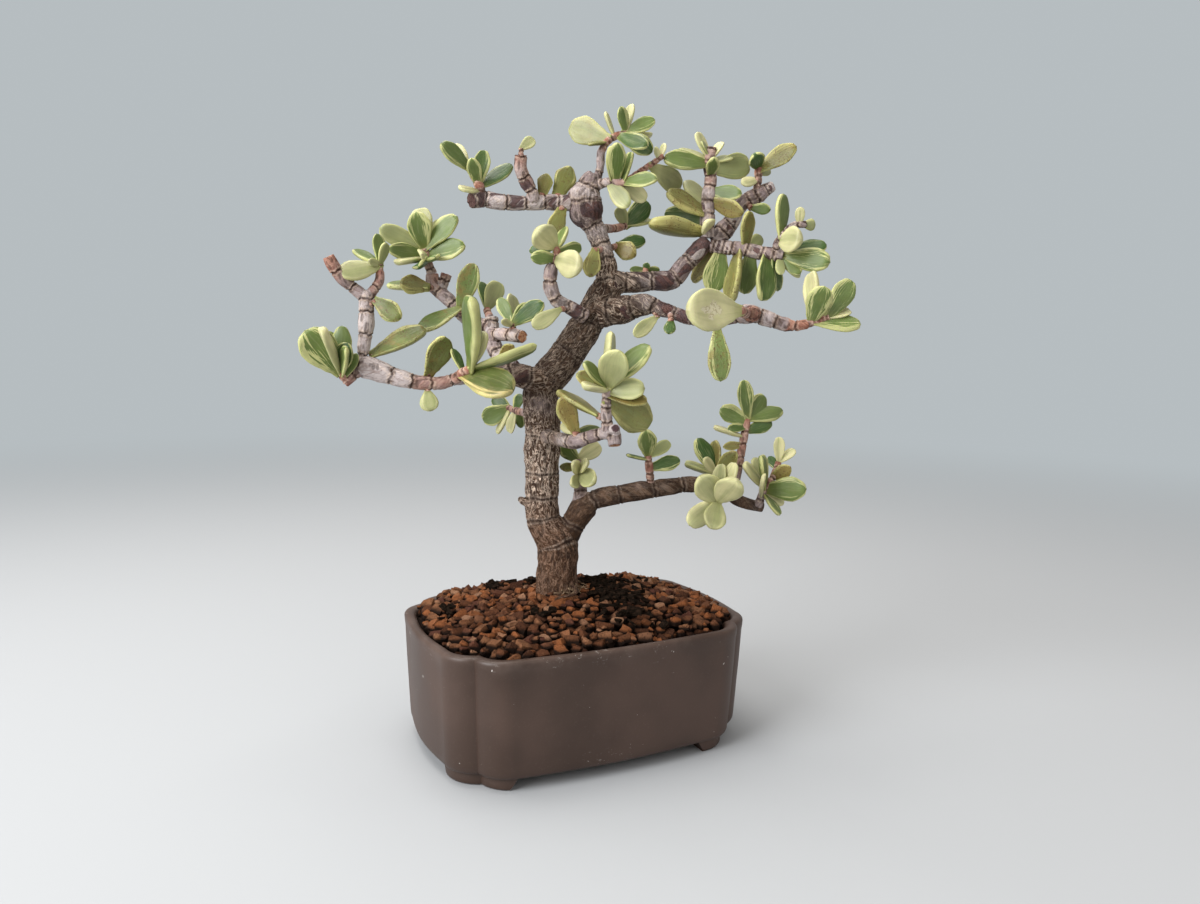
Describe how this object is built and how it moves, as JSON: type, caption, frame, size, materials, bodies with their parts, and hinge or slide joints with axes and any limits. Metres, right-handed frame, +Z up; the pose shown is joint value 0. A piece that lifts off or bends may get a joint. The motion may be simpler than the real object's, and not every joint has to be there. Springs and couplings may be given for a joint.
{
  "type": "potted jade plant",
  "caption": "Small variegated jade plant trained as a tree, with a bare curved trunk, forked limbs and thick oval leaves, rooted in gravelly soil in an unglazed lobed clay pot with corner feet.",
  "frame": {"origin": "middle of the whole plant's footprint box, on the surface that the pot stands on", "axes": "+Z up; +X along the pot's long side, towards the two reaching right limbs; -Y towards the pot's front"},
  "size_m": [0.2378, 0.139, 0.308],
  "materials": {
    "clay": "satin",
    "gravel": "matte",
    "screen_plastic": "matte",
    "bark": "matte",
    "jade_leaf": "satin"
  },
  "bodies": {
    "root": {"pot": "clay", "soil": "gravel", "drain_screen_left": "screen_plastic", "drain_screen_right": "screen_plastic", "trunk": "bark", "crown_leader": "bark", "crown_left_twig": "bark", "upper_right_limb": "bark", "knobby_twig": "bark", "lower_right_limb": "bark", "short_twig": "bark", "front_twig": "bark", "left_branch": "bark", "left_riser": "bark", "left_upper_branch": "bark", "low_right_branch": "bark", "far_left_leaves": "jade_leaf", "left_riser_leaf": "jade_leaf", "left_fork_leaf": "jade_leaf", "left_arm_leaves": "jade_leaf", "left_rosette": "jade_leaf", "left_pair_leaves": "jade_leaf", "upper_left_leaves": "jade_leaf", "grey_stub_leaves": "jade_leaf", "big_front_leaves": "jade_leaf", "stub_rosette": "jade_leaf", "pale_twig_leaf": "jade_leaf", "crotch_leaf": "jade_leaf", "back_left_leaves": "jade_leaf", "hanging_left_leaf": "jade_leaf", "branch_top_leaf": "jade_leaf", "crown_left_leaves": "jade_leaf", "crown_stub_leaf": "jade_leaf", "crown_olive_leaf_left": "jade_leaf", "crown_olive_leaf_right": "jade_leaf", "under_knob_leaf": "jade_leaf", "short_twig_leaves": "jade_leaf", "leader_left_leaf": "jade_leaf", "crown_top_leaves": "jade_leaf", "crown_right_leaves": "jade_leaf", "mid_back_leaves": "jade_leaf", "leader_right_leaves": "jade_leaf", "limb_top_leaves": "jade_leaf", "upper_right_shoot": "jade_leaf", "knobby_leaves": "jade_leaf", "knobby_low_leaf": "jade_leaf", "right_outer_shoot": "jade_leaf", "lower_right_leaves": "jade_leaf", "big_round_leaf": "jade_leaf", "hanging_speckled_leaf": "jade_leaf", "limb_under_leaf": "jade_leaf", "limb_small_leaf": "jade_leaf", "front_rosette": "jade_leaf", "front_twig_leaves": "jade_leaf", "low_stub_leaves": "jade_leaf", "small_shoot": "jade_leaf", "low_right_twig": "jade_leaf", "low_right_end_leaves": "jade_leaf", "low_round_leaves": "jade_leaf"}
  },
  "joints": []
}
